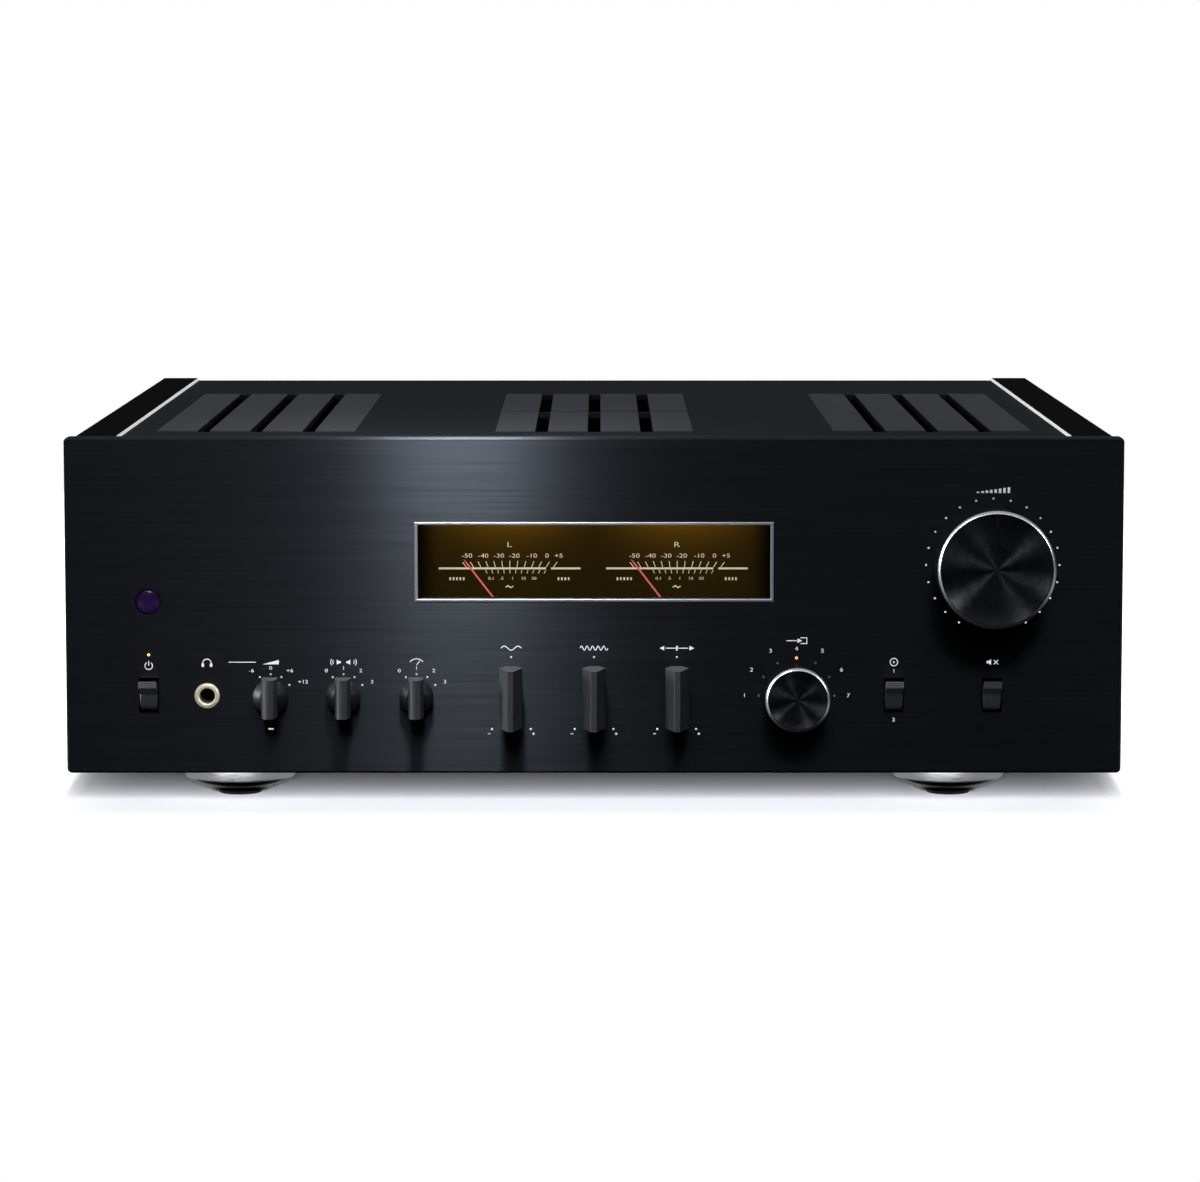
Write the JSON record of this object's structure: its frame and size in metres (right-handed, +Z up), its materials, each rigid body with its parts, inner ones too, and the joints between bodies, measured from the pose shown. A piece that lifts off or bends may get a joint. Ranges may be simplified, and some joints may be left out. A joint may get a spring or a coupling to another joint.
{
  "type": "integrated amplifier",
  "caption": "Full-width stereo amplifier with a thick faceplate, rotary and lever controls, twin needle meters, slotted cover and lacquered side panels.",
  "frame": {"origin": "middle of the overall width and depth, on the surface that the feet stand on", "axes": "+X to the right of someone facing the controls, +Y from the faceplate to the rear sockets, +Z up"},
  "size_m": [0.435, 0.463, 0.157],
  "materials": {
    "anodised_black": "bead-blasted and anodised black, satin",
    "black_lacquer": "black piano lacquer on fibreboard, gloss",
    "black_sheet": "fine-textured powder coat, black",
    "zinc_steel": "zinc plated, dull bright",
    "bright_metal": "polished plating",
    "gold_plate": "gold plated",
    "nickel_brass": "nickel plated, satin",
    "felt_pad": "dense pad, matt",
    "window_glass": "clear",
    "dial_card": "printed film, lit from above",
    "needle_red": "painted",
    "black_plastic": "moulded, satin",
    "grey_plastic": "moulded",
    "knob_black": "turned, spun face, anodised black",
    "sensor_tint": "infrared window, dark purple",
    "lamp_clear": "light rod",
    "circuit_board": "green solder mask",
    "winding": "core and enamelled copper under tape",
    "sleeve": "shrink sleeve",
    "sink_alloy": "extruded, anodised black"
  },
  "bodies": {
    "chassis": {"amplifier_boards": "circuit_board", "balanced_sockets": "black_plastic", "base_plate": "black_sheet", "board_standoffs": "nickel_brass", "chassis_frames": "zinc_steel", "chassis_screws": "zinc_steel", "control_board": "circuit_board", "filter_capacitors": "sleeve", "foot_discs": "bright_metal", "foot_pads": "felt_pad", "front_panel": "anodised_black", "front_subframe": "zinc_steel", "headphone_jack": "black_plastic", "headphone_jack_ring": "gold_plate", "heat_sinks": "sink_alloy", "input_board": "circuit_board", "lamps": "lamp_clear", "large_bolts": "zinc_steel", "mains_inlet": "black_plastic", "meter_bezel": "bright_metal", "meter_dial": "dial_card", "meter_glass": "window_glass", "meter_housing": "black_plastic", "meter_movements": "grey_plastic", "output_transistors": "black_plastic", "phono_sockets": "gold_plate", "potentiometers": "zinc_steel", "power_supply_board": "circuit_board", "rear_panel": "black_sheet", "remote_sensor_lens": "sensor_tint", "rotary_switches": "zinc_steel", "side_panel_left": "black_lacquer", "side_panel_right": "black_lacquer", "terminal_insulators": "black_plastic", "terminal_studs": "nickel_brass", "toggle_switches": "black_plastic", "top_cover": "black_sheet", "transformer": "winding"},
    "volume_knob": {"volume_knob": "knob_black"},
    "input_knob": {"input_knob": "knob_black"},
    "trim_knob": {"trim_knob": "knob_black"},
    "speakers_knob": {"speakers_knob": "knob_black"},
    "meter_knob": {"meter_knob": "knob_black"},
    "bass_knob": {"bass_knob": "knob_black"},
    "treble_knob": {"treble_knob": "knob_black"},
    "balance_knob": {"balance_knob": "knob_black"},
    "power_lever": {"power_lever": "knob_black"},
    "phono_lever": {"phono_lever": "knob_black"},
    "mute_lever": {"mute_lever": "knob_black"},
    "needle_left": {"needle_left": "needle_red"},
    "needle_right": {"needle_right": "needle_red"},
    "terminal_cap_left_a_plus": {"terminal_cap_left_a_plus": "nickel_brass"},
    "terminal_cap_left_a_minus": {"terminal_cap_left_a_minus": "nickel_brass"},
    "terminal_cap_left_b_plus": {"terminal_cap_left_b_plus": "nickel_brass"},
    "terminal_cap_left_b_minus": {"terminal_cap_left_b_minus": "nickel_brass"},
    "terminal_cap_right_a_plus": {"terminal_cap_right_a_plus": "nickel_brass"},
    "terminal_cap_right_a_minus": {"terminal_cap_right_a_minus": "nickel_brass"},
    "terminal_cap_right_b_plus": {"terminal_cap_right_b_plus": "nickel_brass"},
    "terminal_cap_right_b_minus": {"terminal_cap_right_b_minus": "nickel_brass"},
    "ground_nut": {"ground_nut": "nickel_brass"}
  },
  "joints": [
    {"name": "volume_turn", "type": "hinge", "parent": "chassis", "child": "volume_knob", "pos_m": [0.1639, -0.2095, 0.1045], "axis": [0, 1, 0], "range_deg": [-150, 150]},
    {"name": "input_turn", "type": "hinge", "parent": "chassis", "child": "input_knob", "pos_m": [0.0834, -0.2095, 0.0504], "axis": [0, 1, 0], "continuous": true},
    {"name": "trim_turn", "type": "hinge", "parent": "chassis", "child": "trim_knob", "pos_m": [-0.1332, -0.2095, 0.0504], "axis": [0, 1, 0], "range_deg": [-30, 60]},
    {"name": "speakers_turn", "type": "hinge", "parent": "chassis", "child": "speakers_knob", "pos_m": [-0.10315, -0.2095, 0.0504], "axis": [0, 1, 0], "range_deg": [-30, 60]},
    {"name": "meter_turn", "type": "hinge", "parent": "chassis", "child": "meter_knob", "pos_m": [-0.0731, -0.2095, 0.0504], "axis": [0, 1, 0], "range_deg": [-30, 60]},
    {"name": "bass_turn", "type": "hinge", "parent": "chassis", "child": "bass_knob", "pos_m": [-0.0341, -0.2095, 0.0504], "axis": [0, 1, 0], "range_deg": [-150, 150]},
    {"name": "treble_turn", "type": "hinge", "parent": "chassis", "child": "treble_knob", "pos_m": [0, -0.2095, 0.0504], "axis": [0, 1, 0], "range_deg": [-150, 150]},
    {"name": "balance_turn", "type": "hinge", "parent": "chassis", "child": "balance_knob", "pos_m": [0.0341, -0.2095, 0.0504], "axis": [0, 1, 0], "range_deg": [-150, 150]},
    {"name": "power_tilt", "type": "hinge", "parent": "chassis", "child": "power_lever", "pos_m": [-0.1834, -0.204, 0.0504], "axis": [1, 0, 0], "range_deg": [0, 44]},
    {"name": "phono_tilt", "type": "hinge", "parent": "chassis", "child": "phono_lever", "pos_m": [0.1235, -0.204, 0.0504], "axis": [1, 0, 0], "range_deg": [0, 44]},
    {"name": "mute_tilt", "type": "hinge", "parent": "chassis", "child": "mute_lever", "pos_m": [0.1639, -0.204, 0.0504], "axis": [1, 0, 0], "range_deg": [0, 44], "stiffness_Nm_per_rad": 0.03, "springref_deg": -8.59},
    {"name": "needle_left_swing", "type": "hinge", "parent": "chassis", "child": "needle_left", "pos_m": [-0.0346, -0.1989, 0.0809], "axis": [0, 1, 0], "range_deg": [0, 75.2], "stiffness_Nm_per_rad": 0.0001, "springref_deg": -14.32},
    {"name": "needle_right_swing", "type": "hinge", "parent": "chassis", "child": "needle_right", "pos_m": [0.0346, -0.1989, 0.0809], "axis": [0, 1, 0], "range_deg": [0, 75.2], "stiffness_Nm_per_rad": 0.0001, "springref_deg": -14.32},
    {"name": "terminal_left_a_plus_unscrew", "type": "hinge", "parent": "chassis", "child": "terminal_cap_left_a_plus", "pos_m": [0.1625, 0.2195, 0.0462], "axis": [0, 1, 0], "range_deg": [0, 1080]},
    {"name": "terminal_left_a_minus_unscrew", "type": "hinge", "parent": "chassis", "child": "terminal_cap_left_a_minus", "pos_m": [0.1305, 0.2195, 0.0462], "axis": [0, 1, 0], "range_deg": [0, 1080]},
    {"name": "terminal_left_b_plus_unscrew", "type": "hinge", "parent": "chassis", "child": "terminal_cap_left_b_plus", "pos_m": [0.0985, 0.2195, 0.0462], "axis": [0, 1, 0], "range_deg": [0, 1080]},
    {"name": "terminal_left_b_minus_unscrew", "type": "hinge", "parent": "chassis", "child": "terminal_cap_left_b_minus", "pos_m": [0.0665, 0.2195, 0.0462], "axis": [0, 1, 0], "range_deg": [0, 1080]},
    {"name": "terminal_right_a_plus_unscrew", "type": "hinge", "parent": "chassis", "child": "terminal_cap_right_a_plus", "pos_m": [-0.0075, 0.2195, 0.0462], "axis": [0, 1, 0], "range_deg": [0, 1080]},
    {"name": "terminal_right_a_minus_unscrew", "type": "hinge", "parent": "chassis", "child": "terminal_cap_right_a_minus", "pos_m": [-0.0395, 0.2195, 0.0462], "axis": [0, 1, 0], "range_deg": [0, 1080]},
    {"name": "terminal_right_b_plus_unscrew", "type": "hinge", "parent": "chassis", "child": "terminal_cap_right_b_plus", "pos_m": [-0.0715, 0.2195, 0.0462], "axis": [0, 1, 0], "range_deg": [0, 1080]},
    {"name": "terminal_right_b_minus_unscrew", "type": "hinge", "parent": "chassis", "child": "terminal_cap_right_b_minus", "pos_m": [-0.1035, 0.2195, 0.0462], "axis": [0, 1, 0], "range_deg": [0, 1080]},
    {"name": "ground_unscrew", "type": "hinge", "parent": "chassis", "child": "ground_nut", "pos_m": [0.1815, 0.2095, 0.1217], "axis": [0, 1, 0], "range_deg": [0, 1080]}
  ]
}
